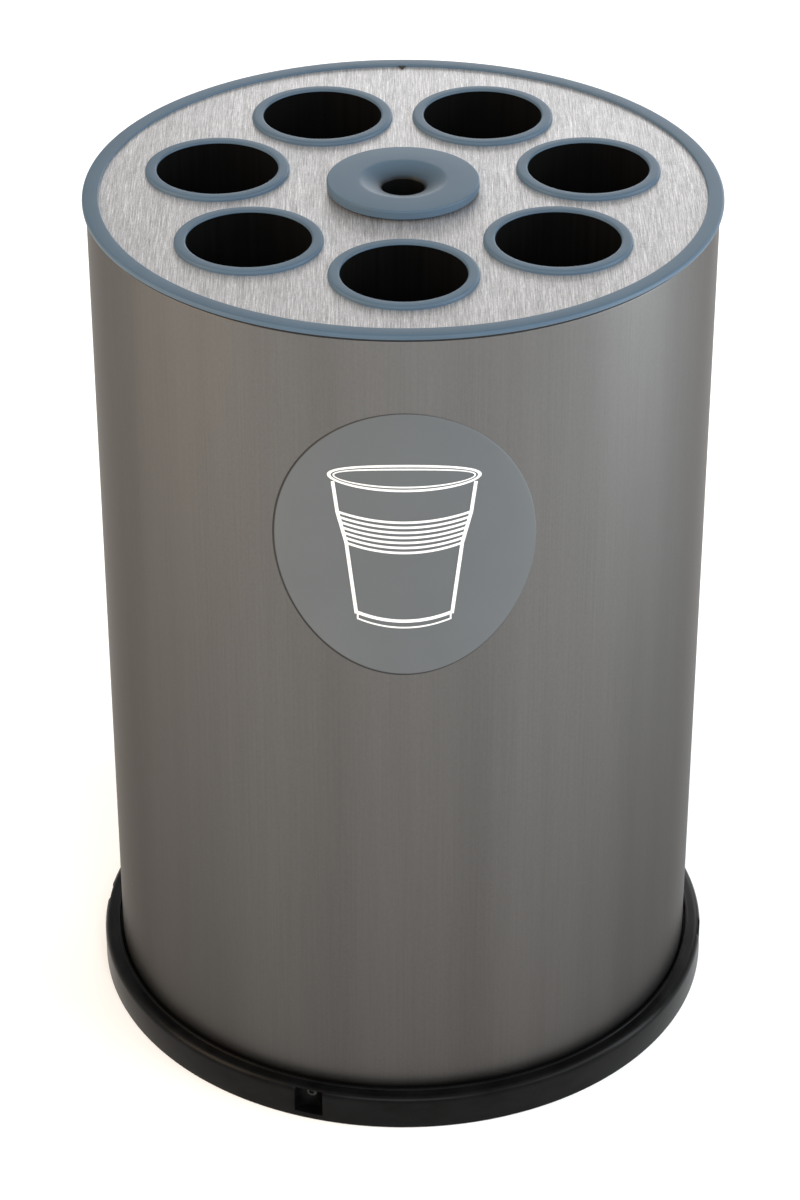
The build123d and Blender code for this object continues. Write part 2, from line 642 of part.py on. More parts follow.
with BuildPart() as tray_wall:
    with BuildSketch(Plane.XZ):
        with BuildLine():
            Polyline(
                (LAP_IN_R, TRAY_BOTTOM),
                (WALL_FOOT_OUT_R, TRAY_BOTTOM),
                (UNDER_LEDGE_IN_R, LEDGE_SURFACE - LEDGE_WALL),
                (UNDER_LEDGE_OUT_R, LEDGE_SURFACE - LEDGE_WALL),
                (TRAY_RIM_UNDER_R, TRAY_TOP - TRAY_RIM_HEIGHT),
                (TRAY_RIM_R, TRAY_TOP - TRAY_RIM_HEIGHT),
                (TRAY_RIM_R, TRAY_TOP),
                (TRAY_RIM_IN_R, TRAY_TOP),
                (LEDGE_OUT_R, LEDGE_SURFACE),
                (LEDGE_IN_R, LEDGE_SURFACE),
                (WALL_FOOT_IN_R, TRAY_FLOOR_BOTTOM),
                (LAP_IN_R, TRAY_FLOOR_BOTTOM),
                close=True,
            )
        make_face()
        fillet(corner(WALL_FOOT_OUT_R, TRAY_BOTTOM), TRAY_FOOT_ROUND)
        fillet(corner(TRAY_RIM_R, TRAY_TOP), TRAY_RIM_ROUND)
    revolve(axis=Axis.Z)
save(tray_wall.part, "tray_wall")

with BuildPart() as tray_floor:
    with BuildSketch(Plane.XY.offset(TRAY_FLOOR_BOTTOM)):
        Circle(TRAY_FLOOR_R)
    extrude(amount=SHEET_IN_TRAY)
save(tray_floor.part, "tray_floor")

SLOT_LENGTH = 24.0
SLOT_WIDTH = 5.0
SLOT_RINGS = [(38.0, 10), (72.0, 18), (106.0, 26), (140.0, 34)]   # radius and number of slots
FINGER_R = 11.0                   # two holes to lift the grid by
FINGER_OFFSET = 48.0

with BuildPart() as drain_grid:
    with BuildSketch(Plane.XY.offset(GRID_BOTTOM)):
        Circle(GRID_R)
        for ring_r, count in SLOT_RINGS:
            with PolarLocations(ring_r, count):
                SlotOverall(SLOT_LENGTH, SLOT_WIDTH, mode=Mode.SUBTRACT)
        with Locations((-FINGER_OFFSET, 0), (FINGER_OFFSET, 0)):
            Circle(FINGER_R, mode=Mode.SUBTRACT)
    extrude(amount=GRID_TOP - GRID_BOTTOM)
save(drain_grid.part, "drain_grid")
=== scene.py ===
import json
from math import cos, pi, radians, sin, sqrt, tan

import bmesh
import bpy
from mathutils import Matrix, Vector


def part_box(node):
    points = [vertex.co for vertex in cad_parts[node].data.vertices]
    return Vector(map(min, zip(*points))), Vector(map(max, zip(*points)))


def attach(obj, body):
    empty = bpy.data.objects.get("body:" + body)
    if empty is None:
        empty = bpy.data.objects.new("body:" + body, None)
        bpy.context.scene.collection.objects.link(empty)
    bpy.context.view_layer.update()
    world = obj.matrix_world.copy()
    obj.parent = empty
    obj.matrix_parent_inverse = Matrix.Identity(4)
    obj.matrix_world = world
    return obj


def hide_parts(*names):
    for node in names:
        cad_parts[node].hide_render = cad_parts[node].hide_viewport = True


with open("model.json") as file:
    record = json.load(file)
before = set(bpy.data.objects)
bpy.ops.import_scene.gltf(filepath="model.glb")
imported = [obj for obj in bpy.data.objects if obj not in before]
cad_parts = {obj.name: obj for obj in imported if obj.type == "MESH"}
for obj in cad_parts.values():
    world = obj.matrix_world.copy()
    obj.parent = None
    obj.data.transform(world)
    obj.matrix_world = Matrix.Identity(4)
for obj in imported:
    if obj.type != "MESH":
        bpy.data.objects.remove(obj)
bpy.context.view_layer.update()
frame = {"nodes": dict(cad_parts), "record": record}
nodes = frame["nodes"]
scene = bpy.context.scene

# ================================================================ main sizes, from the frame
MM = 0.001
SHEET = 1.0 * MM
PORTS = 7
rim_low, rim_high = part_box("rim_trim")
shell_low, shell_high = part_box("body_shell")
plinth_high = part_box("base_ring")[1]
panel_low, panel_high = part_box("lid_panel")
badge_low, badge_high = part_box("badge_plate")
funnel_low, funnel_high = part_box("funnel")
HEIGHT = rim_high.z
RIM_R = rim_high.x
RIM_LIP_IN = RIM_R - 10.0 * MM
SKIN_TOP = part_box("brushed_plate")[1].z
SHELL_R = shell_high.x
PLINTH_R = plinth_high.x
PLINTH_TOP = plinth_high.z - 2.0 * MM
BADGE_HALF_WIDTH = badge_high.x
BADGE_HALF_HEIGHT = (badge_high.z - badge_low.z) / 2
BADGE_MIDDLE = (badge_high.z + badge_low.z) / 2
DISC_R = funnel_high.x
THROAT_R = DISC_R - 33.5 * MM

# ================================================================ camera
# Placed in multiples of the rim's radius, to the side, back and up from the middle of the lid.
CAMERA_SIDE = -0.0391
CAMERA_BACK = 9.878
CAMERA_UP = 4.661
CAMERA_PITCH = radians(32.04)
CAMERA_TURN = radians(-0.17)
CAMERA_LENS = 104.35
SENSOR_WIDTH = 36.0
VIEW_LIMIT = 100.0

camera_data = bpy.data.cameras.new("camera")
camera_data.lens = CAMERA_LENS
camera_data.sensor_width = SENSOR_WIDTH
camera_data.clip_end = VIEW_LIMIT
camera = bpy.data.objects.new("camera", camera_data)
camera.location = (CAMERA_SIDE * RIM_R, -CAMERA_BACK * RIM_R, HEIGHT + CAMERA_UP * RIM_R)
camera.rotation_euler = (pi / 2 - CAMERA_PITCH, 0.0, CAMERA_TURN)
scene.collection.objects.link(camera)
scene.camera = camera


# ================================================================ materials
class Shader:
    """One material and its node tree, with short calls to add and join nodes."""

    def __init__(self, name, **values):
        """Start a material; each value is for the surface's socket of that name."""
        self.material = bpy.data.materials.new(name)
        self.material.use_nodes = True
        self.tree = self.material.node_tree
        self.surface = self.tree.nodes["Principled BSDF"]
        for socket, value in values.items():
            self.surface.inputs[socket.replace("_", " ")].default_value = value
        self.place = self.node("ShaderNodeTexCoord").outputs["Object"]

    def node(self, kind, **settings):
        """Add a node of a kind with some settings."""
        made = self.tree.nodes.new(kind)
        for key, value in settings.items():
            setattr(made, key, value)
        return made

    def join(self, source, target):
        """Link an output socket to an input socket."""
        self.tree.links.new(source, target)

    def scaled(self, scale, place=None):
        """A place, or else the object's coordinates, stretched by three factors."""
        made = self.node("ShaderNodeMapping")
        made.inputs["Scale"].default_value = scale
        self.join(place or self.place, made.inputs["Vector"])
        return made.outputs["Vector"]

    def noise(self, scale, detail=4.0, roughness=0.5):
        """Noise from 0 to 1 over the object's coordinates, finer with a larger scale in each direction."""
        made = self.node("ShaderNodeTexNoise")
        made.inputs["Scale"].default_value = 1.0
        made.inputs["Detail"].default_value = detail
        made.inputs["Roughness"].default_value = roughness
        self.join(self.scaled(scale), made.inputs["Vector"])
        return made.outputs["Fac"]

    def length(self, place):
        """Distance of a place from the origin."""
        made = self.node("ShaderNodeVectorMath", operation="LENGTH")
        self.join(place, made.inputs[0])
        return made.outputs["Value"]

    def share(self, value, low, high):
        """How far a value is on its way from low to high, from 0 to 1."""
        made = self.node("ShaderNodeMapRange")
        made.inputs["From Min"].default_value = low
        made.inputs["From Max"].default_value = high
        self.join(value, made.inputs["Value"])
        return made.outputs["Result"]

    def ramp(self, value, *stops):
        """Colour or grey by value: each stop is a position and a grey level or a colour."""
        made = self.node("ShaderNodeValToRGB")
        elements = made.color_ramp.elements
        while len(elements) < len(stops):
            elements.new(0.5)
        for element, (position, level) in zip(elements, stops):
            element.position = position
            element.color = (*level, 1.0) if isinstance(level, tuple) else (level, level, level, 1.0)
        self.join(value, made.inputs["Fac"])
        return made.outputs["Color"]

    def mix(self, factor, first, second, blend="MIX"):
        """Two colours mixed; the factor is a number or a socket."""
        made = self.node("ShaderNodeMix", data_type="RGBA", blend_type=blend)
        # of the node's sockets, 6 and 7 in and 2 out are the ones for colours
        for socket, value in ((made.inputs[0], factor), (made.inputs[6], first), (made.inputs[7], second)):
            if isinstance(value, bpy.types.NodeSocket):
                self.join(value, socket)
            else:
                socket.default_value = value
        return made.outputs[2]

    def between(self, value, low, high):
        """A 0 to 1 value moved into a range."""
        made = self.node("ShaderNodeMapRange")
        made.inputs["To Min"].default_value = low
        made.inputs["To Max"].default_value = high
        self.join(value, made.inputs["Value"])
        return made.outputs["Result"]

    def bump(self, height, strength, distance, before=None):
        """Relief from a height value. A second call can take the first one's result."""
        made = self.node("ShaderNodeBump")
        made.inputs["Strength"].default_value = strength
        made.inputs["Distance"].default_value = distance
        self.join(height, made.inputs["Height"])
        if before:
            self.join(before, made.inputs["Normal"])
        self.join(made.outputs["Normal"], self.surface.inputs["Normal"])
        return made.outputs["Normal"]

    def finish(self, colour, roughness=None):
        """Join what colours the surface, and what roughens it, and give the material."""
        self.join(colour, self.surface.inputs["Base Color"])
        if roughness:
            self.join(roughness, self.surface.inputs["Roughness"])
        return self.material


def make_shell_steel():
    """Satin stainless sheet: very fine upright grain; soft upright bands that are partly uneven tone of the
    sheet and partly painted reflection; painted shade darkens it towards the foot.
    """
    s = Shader("shell_steel", Metallic=1.0, Specular_Tint=(0.55, 0.54, 0.53, 1.0))
    grain = s.noise((900, 900, 9), detail=6, roughness=0.7)
    speckle = s.noise((700, 700, 500), detail=3)
    tone_and_reflection_bands = s.noise((16, 16, 0.6), detail=2)
    axes = s.node("ShaderNodeSeparateXYZ")
    s.join(s.place, axes.inputs["Vector"])
    # painted shade: the colour darkens from the top down to the foot, standing in for the shade near the
    # floor
    height = s.share(axes.outputs["Z"], 0.0, HEIGHT)
    tint = s.ramp(height, (0.0, (0.088, 0.085, 0.083)), (1.0, (0.157, 0.155, 0.153)))
    # soft upright bands of lighter and darker colour: partly uneven tone of the sheet, partly painted
    # reflection of the studio
    tint = s.mix(0.40, tint, s.ramp(tone_and_reflection_bands, (0.35, 0.60), (0.65, 1.0)), "MULTIPLY")
    tint = s.mix(0.22, tint, s.ramp(grain, (0.3, 0.5), (0.7, 1.0)), "MULTIPLY")
    tint = s.mix(0.12, tint, s.ramp(speckle, (0.3, 0.4), (0.7, 1.0)), "MULTIPLY")
    s.bump(grain, 0.12, 0.0003)
    return s.finish(tint, s.between(tone_and_reflection_bands, 0.34, 0.44))


def make_plate_steel():
    """Bright stainless skin, brushed hard from front to back: fine light and dark scratches."""
    s = Shader("plate_steel", Metallic=0.7)
    coarse = s.noise((900, 14, 1), detail=3, roughness=0.6)
    fine = s.noise((3400, 60, 1), detail=4, roughness=0.75)
    speckle = s.noise((1500, 900, 1), detail=2, roughness=0.6)
    tint = s.ramp(fine, (0.32, (0.24, 0.24, 0.25)), (0.5, (0.56, 0.555, 0.565)), (0.68, (0.97, 0.96, 0.98)))
    tint = s.mix(0.40, tint, s.ramp(coarse, (0.3, 0.50), (0.7, 1.0)), "MULTIPLY")
    tint = s.mix(0.35, tint, s.ramp(speckle, (0.35, 0.35), (0.6, 1.0)), "MULTIPLY")
    s.bump(speckle, 0.12, 0.0002, s.bump(fine, 0.25, 0.0003))
    return s.finish(tint, s.between(coarse, 0.30, 0.40))


def make_blue_grey():
    """Satin moulded plastic, blue-grey, with a fine matt skin; painted shade darkens the funnel's dish
    towards its throat.
    """
    s = Shader("blue_grey_plastic", Specular_IOR_Level=0.25)
    skin = s.noise((1400, 1400, 1400), detail=2)
    cloud = s.noise((22, 22, 22), detail=3)
    tint = s.ramp(cloud, (0.3, (0.061, 0.099, 0.141)), (0.7, (0.070, 0.113, 0.159)))
    # painted shade: the colour darkens towards the funnel's throat, nearly black at its edge
    out_of_throat = s.share(s.length(s.scaled((1, 1, 0))), THROAT_R, 2 * THROAT_R)
    painted_throat_shade = s.ramp(out_of_throat, (0.02, 0.004), (0.16, 0.45), (0.45, 0.72), (1.0, 1.0))
    tint = s.mix(1.0, tint, painted_throat_shade, "MULTIPLY")
    s.bump(skin, 0.10, 0.0001)
    return s.finish(tint, s.between(cloud, 0.42, 0.50))


def make_plinth_black():
    """Semi-gloss moulded black plastic with a little dust in its grain."""
    s = Shader("plinth_black", Specular_IOR_Level=0.08)
    grain = s.noise((900, 900, 900), detail=3)
    dust = s.noise((40, 40, 90), detail=5, roughness=0.65)
    tint = s.ramp(dust, (0.35, (0.0012, 0.0012, 0.0013)), (0.75, (0.005, 0.005, 0.0055)))
    s.bump(grain, 0.15, 0.0001)
    return s.finish(tint, s.between(dust, 0.26, 0.38))


def make_tube_black():
    """Dead matt black extruded plastic with faint draw lines."""
    s = Shader("tube_black", Specular_IOR_Level=0.06)
    lines = s.noise((500, 500, 6), detail=3)
    tint = s.ramp(lines, (0.3, 0.0010), (0.7, 0.0024))
    s.bump(lines, 0.12, 0.0002)
    return s.finish(tint, s.between(lines, 0.65, 0.80))


def make_badge_grey():
    """Satin printed label in a mid grey, with a painted shadow line round its edge that is widest at the
    lower left.
    """
    s = Shader("badge_grey", Specular_IOR_Level=0.3)
    skin = s.noise((1100, 1100, 1100), detail=2)
    cloud = s.noise((18, 18, 18), detail=3)
    tint = s.ramp(cloud, (0.3, (0.093, 0.101, 0.107)), (0.7, (0.101, 0.110, 0.116)))
    # painted shadow: a thin dark line round the label's edge, shifted so that it is widest at the lower left
    shadow_line_shift = 0.7 * MM
    shadow_line_tint = (0.012, 0.012, 0.013, 1.0)
    from_middle = s.node("ShaderNodeVectorMath", operation="SUBTRACT")
    from_middle.inputs[1].default_value = (shadow_line_shift, 0.0, BADGE_MIDDLE + shadow_line_shift)
    s.join(s.place, from_middle.inputs[0])
    as_circle = s.scaled((1 / BADGE_HALF_WIDTH, 0, 1 / BADGE_HALF_HEIGHT), from_middle.outputs["Vector"])
    tint = s.mix(s.share(s.length(as_circle), 0.988, 0.996), tint, shadow_line_tint)
    s.bump(skin, 0.05, 0.0001)
    return s.finish(tint, s.between(cloud, 0.46, 0.54))


def make_badge_white():
    """White raised print."""
    s = Shader("badge_white")
    skin = s.noise((900, 900, 900), detail=2)
    tint = s.ramp(skin, (0.3, 0.80), (0.7, 0.88))
    s.bump(skin, 0.05, 0.0001)
    return s.finish(tint, s.between(skin, 0.48, 0.58))


def make_seal_rubber():
    """Matt black rubber."""
    s = Shader("seal_rubber")
    skin = s.noise((800, 800, 800), detail=3)
    tint = s.ramp(skin, (0.3, 0.006), (0.7, 0.012))
    s.bump(skin, 0.2, 0.0001)
    return s.finish(tint, s.between(skin, 0.75, 0.85))


def make_panel_grey():
    """Grey moulded board."""
    s = Shader("panel_grey")
    skin = s.noise((500, 500, 500), detail=4)
    tint = s.ramp(skin, (0.3, (0.070, 0.074, 0.078)), (0.7, (0.088, 0.092, 0.096)))
    s.bump(skin, 0.2, 0.0002)
    return s.finish(tint, s.between(skin, 0.50, 0.62))


def make_zinc_steel():
    """Galvanised sheet with broad pale and dark crystals."""
    s = Shader("zinc_steel", Metallic=1.0)
    crystals = s.node("ShaderNodeTexVoronoi")
    crystals.inputs["Scale"].default_value = 110.0
    s.join(s.place, crystals.inputs["Vector"])
    shade = s.node("ShaderNodeSeparateColor")
    s.join(crystals.outputs["Color"], shade.inputs["Color"])
    tint = s.ramp(shade.outputs["Red"], (0.0, (0.36, 0.37, 0.38)), (1.0, (0.52, 0.53, 0.54)))
    return s.finish(tint, s.between(shade.outputs["Green"], 0.36, 0.52))


def make_black_screw():
    """Black coated steel, worn a little."""
    s = Shader("black_screw", Metallic=0.6)
    wear = s.noise((1600, 1600, 1600), detail=4)
    tint = s.ramp(wear, (0.45, 0.012), (0.75, 0.05))
    return s.finish(tint, s.between(wear, 0.35, 0.5))


def make_tray_grey():
    """Dark grey moulded plastic with a fine grain."""
    s = Shader("tray_grey")
    grain = s.noise((700, 700, 700), detail=3)
    cloud = s.noise((20, 20, 20), detail=3)
    tint = s.ramp(cloud, (0.3, (0.022, 0.024, 0.026)), (0.7, (0.032, 0.034, 0.037)))
    s.bump(grain, 0.2, 0.0002)
    return s.finish(tint, s.between(cloud, 0.42, 0.52))


materials = {
    "shell_steel": make_shell_steel(),
    "plate_steel": make_plate_steel(),
    "blue_grey_plastic": make_blue_grey(),
    "plinth_black": make_plinth_black(),
    "tube_black": make_tube_black(),
    "badge_grey": make_badge_grey(),
    "badge_white": make_badge_white(),
    "seal_rubber": make_seal_rubber(),
    "panel_grey": make_panel_grey(),
    "zinc_steel": make_zinc_steel(),
    "black_screw": make_black_screw(),
    "tray_grey": make_tray_grey(),
}

# every CAD node takes the material of its slot; some are replaced by finer pieces below
for subpart in frame["record"]["subparts"]:
    slots = nodes[subpart["node"]].data.materials
    slots.clear()
    slots.append(materials[subpart["material_slot"]])


# ================================================================ mesh helpers
SHARP = radians(32)
ARC_STEPS = 6
ON_AXIS = 1e-7
# sides of a full turn, for the bin's wide rings and for smaller ones
WIDE_TURN = 256
TRAY_TURN = 192
DISC_TURN = 160
COLLAR_TURN = 128
TUBE_TURN = 96


def soften(corners, steps=ARC_STEPS):
    """Outline with rounded corners: each corner is its radius from the axis, its height and its rounding."""
    outline = []
    for index, (r, z, rounding) in enumerate(corners):
        here = Vector((r, z))
        to_before = (Vector(corners[index - 1][:2]) - here).normalized()
        to_after = (Vector(corners[(index + 1) % len(corners)][:2]) - here).normalized()
        if rounding == 0:
            outline.append(here)
            continue
        half = to_before.angle(to_after) / 2
        centre = here + (to_before + to_after).normalized() * (rounding / sin(half))
        first = here + to_before * (rounding / tan(half)) - centre
        last = here + to_after * (rounding / tan(half)) - centre
        outline.extend(centre + first.slerp(last, step / steps) * rounding for step in range(steps + 1))
    return outline


def lathe(outline, sides, centre=(0.0, 0.0)):
    """Closed outline turned about an upright axis. Points on the axis become one vertex."""
    mesh = bmesh.new()
    poles = {i: mesh.verts.new((*centre, p.y)) for i, p in enumerate(outline) if p.x < ON_AXIS}
    rings = []
    for k in range(sides):
        angle = 2 * pi * k / sides
        rings.append([
            poles.get(i) or mesh.verts.new((centre[0] + p.x * cos(angle), centre[1] + p.x * sin(angle), p.y))
            for i, p in enumerate(outline)
        ])
    for k, ring in enumerate(rings):
        following = rings[(k + 1) % sides]
        for i in range(len(outline)):
            j = (i + 1) % len(outline)
            corners = list(dict.fromkeys((ring[i], ring[j], following[j], following[i])))
            if len(corners) > 2:
                mesh.faces.new(corners)
    return mesh


def add_piece(name, mesh, body, slot, replaces=()):
    """Make a shaded object of a mesh, and let it ride on a body in place of some CAD nodes."""
    bmesh.ops.recalc_face_normals(mesh, faces=mesh.faces)
    data = bpy.data.meshes.new(name)
    mesh.to_mesh(data)
    mesh.free()
    data.shade_smooth()
    data.set_sharp_from_angle(angle=SHARP)
    data.materials.append(materials[slot])
    piece = bpy.data.objects.new(name, data)
    scene.collection.objects.link(piece)
    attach(piece, body)
    if replaces:
        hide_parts(*replaces)
    return piece


def centre_of(node):
    """Middle of a CAD node seen from above."""
    low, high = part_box(node)
    return ((low.x + high.x) / 2, (low.y + high.y) / 2)


def radius_of(node):
    """Outer radius of a round CAD node seen from above."""
    low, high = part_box(node)
    return (high.x - low.x + high.y - low.y) / 4


# ================================================================ stand
RECESS_FACINGS = [radians(angle) for angle in (-107.5, -6.0, 72.5, 174.0)]


def build_shell():
    """Rolled sheet with a softened mouth."""
    mouth_rounding = 0.35 * MM
    mesh = lathe(soften([
        (SHELL_R - SHEET, shell_low.z, 0),
        (SHELL_R, shell_low.z, 0),
        (SHELL_R, shell_high.z, mouth_rounding),
        (SHELL_R - SHEET, shell_high.z, mouth_rounding),
    ]), WIDE_TURN)
    add_piece("shell", mesh, "stand", "shell_steel", ["body_shell"])


def curved_strip(half_width, bottom, top, inner, outer, facing, columns=12):
    """Upright strip bent round the axis, with all its edges softened."""
    mesh = bmesh.new()
    rounding = 0.4 * (outer - inner)
    rounding_steps = 3
    levels = [bottom, bottom + rounding, top - rounding, top]
    half_angle = half_width / outer
    angles = [facing - half_angle + 2 * half_angle * k / columns for k in range(columns + 1)]
    front = [[mesh.verts.new((outer * cos(a), outer * sin(a), z)) for z in levels] for a in angles]
    back = [[mesh.verts.new((inner * cos(a), inner * sin(a), z)) for z in levels] for a in angles]
    last = len(levels) - 1
    for k in range(columns):
        for i in range(last):
            mesh.faces.new((front[k][i], front[k + 1][i], front[k + 1][i + 1], front[k][i + 1]))
            mesh.faces.new((back[k][i], back[k][i + 1], back[k + 1][i + 1], back[k + 1][i]))
        mesh.faces.new((front[k][0], back[k][0], back[k + 1][0], front[k + 1][0]))
        mesh.faces.new((front[k][last], front[k + 1][last], back[k + 1][last], back[k][last]))
    for i in range(last):
        mesh.faces.new((front[0][i], front[0][i + 1], back[0][i + 1], back[0][i]))
        mesh.faces.new((front[columns][i], back[columns][i], back[columns][i + 1], front[columns][i + 1]))
    rim = [edge for edge in mesh.edges if edge.calc_face_angle(0) > SHARP]
    bmesh.ops.bevel(mesh, geom=rim, offset=rounding, segments=rounding_steps, affect="EDGES", profile=0.5)
    return mesh


def build_seam():
    """Lap of the rolled sheet down the back, sunk a little into the shell."""
    half_width, margin, sunk = 7.0 * MM, 5.0 * MM, 0.2 * MM
    bottom = PLINTH_TOP + margin
    top = shell_high.z - margin
    strip = curved_strip(half_width, bottom, top, SHELL_R - sunk, shell_high.y, pi / 2)
    add_piece("shell_lap_seam", strip, "stand", "shell_steel")


def build_plinth():
    """Moulded ring round the foot: rounded shoulder, lip and shadow groove, four half-moon recesses."""
    shoulder = 5.0 * MM
    groove_r = SHELL_R + 2.0 * MM
    lip_r = SHELL_R + 3.7 * MM
    lip_top = PLINTH_TOP + 0.9 * MM
    groove_bottom = PLINTH_TOP - 4.5 * MM
    slot_out = SHELL_R + 0.1 * MM
    slot_in = SHELL_R - SHEET - 0.1 * MM
    slot_bottom = shell_low.z - 0.2 * MM
    wall_in = SHELL_R - 4.7 * MM
    ledge_in = SHELL_R - 16.7 * MM
    ledge_bottom = 2.0 * MM
    ledge_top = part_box("floor_disc")[0].z
    foot_in = SHELL_R - 2.7 * MM
    mesh = lathe(soften([
        (ledge_in, ledge_bottom, 0),
        (foot_in, ledge_bottom, 0),
        (foot_in, 0.0, 0.3 * MM),
        (PLINTH_R, 0.0, 0.9 * MM),
        (PLINTH_R, PLINTH_TOP, shoulder),
        (lip_r, PLINTH_TOP, 0.5 * MM),
        (lip_r, lip_top, 0.4 * MM),
        (groove_r, lip_top, 0.3 * MM),
        (groove_r, groove_bottom, 0),
        (slot_out, groove_bottom, 0),
        (slot_out, slot_bottom, 0),
        (slot_in, slot_bottom, 0),
        (slot_in, plinth_high.z, 0.5 * MM),
        (wall_in, plinth_high.z, 0.5 * MM),
        (wall_in, ledge_top, 0),
        (ledge_in, ledge_top, 0),
    ]), WIDE_TURN)
    piece = add_piece("plinth", mesh, "stand", "plinth_black", ["base_ring"])
    cut_recesses(piece)


def prism(outline, bottom, top):
    """Upright solid of a closed outline seen from above."""
    mesh = bmesh.new()
    low = [mesh.verts.new((*point, bottom)) for point in outline]
    high = [mesh.verts.new((*point, top)) for point in outline]
    mesh.faces.new(reversed(low))
    mesh.faces.new(high)
    count = len(outline)
    for k in range(count):
        n = (k + 1) % count
        mesh.faces.new((low[k], low[n], high[n], high[k]))
    return mesh


def circle_at(distance, radius, facing, sides=64):
    """Circle seen from above, its centre at a distance from the axis in the direction that it faces."""
    points = []
    for k in range(sides):
        turn = 2 * pi * k / sides
        x, y = distance + radius * cos(turn), radius * sin(turn)
        points.append((x * cos(facing) - y * sin(facing), x * sin(facing) + y * cos(facing)))
    return points


def cut_recesses(piece):
    """Cut the four half-moon recesses into the ring's outer wall, and soften their edges."""
    recess_r, depth, bottom = 9.5 * MM, 9.0 * MM, 4.5 * MM
    top = PLINTH_TOP - 1.4 * MM
    middle_r = PLINTH_R - depth + recess_r
    for facing in RECESS_FACINGS:
        cutter_mesh = prism(circle_at(middle_r, recess_r, facing), bottom, top)
        data = bpy.data.meshes.new("recess_cutter")
        cutter_mesh.to_mesh(data)
        cutter_mesh.free()
        cutter = bpy.data.objects.new("recess_cutter", data)
        scene.collection.objects.link(cutter)
        cut = piece.modifiers.new("cut", "BOOLEAN")
        cut.operation = "DIFFERENCE"
        cut.solver = "EXACT"
        cut.object = cutter
        apply_modifiers(piece)
        bpy.data.objects.remove(cutter)
    edge = piece.modifiers.new("edge", "BEVEL")
    edge.width = 0.4 * MM
    edge.segments = 2
    edge.limit_method = "ANGLE"
    edge.angle_limit = radians(50)
    apply_modifiers(piece)


def apply_modifiers(piece):
    """Replace the piece's mesh by what its modifiers make of it."""
    graph = bpy.context.evaluated_depsgraph_get()
    made = bpy.data.meshes.new_from_object(piece.evaluated_get(graph))
    piece.modifiers.clear()
    piece.data = made
    made.shade_smooth()
    made.set_sharp_from_angle(angle=SHARP)


def build_badge():
    """Oval label bent round the shell, with a rounded edge."""
    face_rows, edge_steps, sides = 10, 4, 160
    outer, inner = -badge_low.y, SHELL_R + 0.02 * MM
    edge = outer - inner
    mesh = bmesh.new()

    def ring(share, inset, radius):
        """Oval of vertices at a radius from the bin's axis, a share of the label's size less an inset."""
        points = []
        for k in range(sides):
            turn = 2 * pi * k / sides
            x = (BADGE_HALF_WIDTH * share - inset) * cos(turn)
            z = BADGE_MIDDLE + (BADGE_HALF_HEIGHT * share - inset) * sin(turn)
            points.append(mesh.verts.new((x, -sqrt(radius ** 2 - x ** 2), z)))
        return points

    # from the back round the edge to the face, then inwards
    rings = []
    for k in range(edge_steps + 1):
        turn = pi / 2 * k / edge_steps
        rings.append(ring(1.0, edge * (1 - cos(turn)), inner + edge * sin(turn)))
    for k in range(1, face_rows):
        rings.append(ring(1 - k / face_rows, edge, outer))
    for first, second in zip(rings, rings[1:]):
        for k in range(sides):
            n = (k + 1) % sides
            mesh.faces.new((first[k], first[n], second[n], second[k]))
    for last_ring, radius in ((rings[0], inner), (rings[-1], outer)):
        hub = mesh.verts.new((0.0, -radius, BADGE_MIDDLE))
        for k in range(sides):
            mesh.faces.new((last_ring[k], last_ring[(k + 1) % sides], hub))
    add_piece("badge", mesh, "stand", "badge_grey", ["badge_plate"])


build_shell()
build_seam()
build_plinth()
build_badge()


# ================================================================ lid
def build_rim():
    """Edge profile that grips the lid: lip on the skin, rounded overhang, web inside the shell."""
    play = 0.1 * MM
    web_r = SHELL_R - SHEET - 0.5 * MM
    under = HEIGHT - 3.0 * MM
    groove_r, groove_bottom = panel_high.x + play, panel_low.z - play
    mesh = lathe(soften([
        (RIM_LIP_IN, SKIN_TOP, 0),
        (RIM_LIP_IN, HEIGHT, 0.8 * MM),
        (RIM_R, HEIGHT, 1.7 * MM),
        (RIM_R, under, 0.8 * MM),
        (web_r, under, 0.2 * MM),
        (web_r, rim_low.z, 0.5 * MM),
        (RIM_LIP_IN, rim_low.z, 0.5 * MM),
        (RIM_LIP_IN, groove_bottom, 0.3 * MM),
        (groove_r, groove_bottom, 0),
        (groove_r, SKIN_TOP, 0),
    ]), WIDE_TURN)
    add_piece("rim", mesh, "lid", "blue_grey_plastic", ["rim_trim"])


def build_rim_key():
    """Small dark wedge at the back, which points inwards from under the rim's lip."""
    half_width, depth, rise, overlap = 2.6 * MM, 4.6 * MM, 0.9 * MM, 0.4 * MM
    rounding, rounding_steps = 0.3 * MM, 3
    root = RIM_LIP_IN + overlap
    corners = [(-half_width, root), (0.0, RIM_LIP_IN - depth), (half_width, root)]
    wedge = prism(corners, SKIN_TOP, SKIN_TOP + rise)
    edges = wedge.edges[:]
    bmesh.ops.bevel(wedge, geom=edges, offset=rounding, segments=rounding_steps, affect="EDGES", profile=0.5)
    add_piece("rim_key", wedge, "lid", "seal_rubber")


def build_seal():
    """Gasket between the trim's overhang and the shell's mouth."""
    low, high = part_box("lid_seal")
    inner = SHELL_R - SHEET - 0.3 * MM
    mesh = lathe(soften([
        (inner, low.z, 0.2 * MM),
        (high.x, low.z, 0.4 * MM),
        (high.x, high.z, 0.4 * MM),
        (inner, high.z, 0.2 * MM),
    ]), WIDE_TURN)
    add_piece("gasket", mesh, "lid", "seal_rubber", ["lid_seal"])


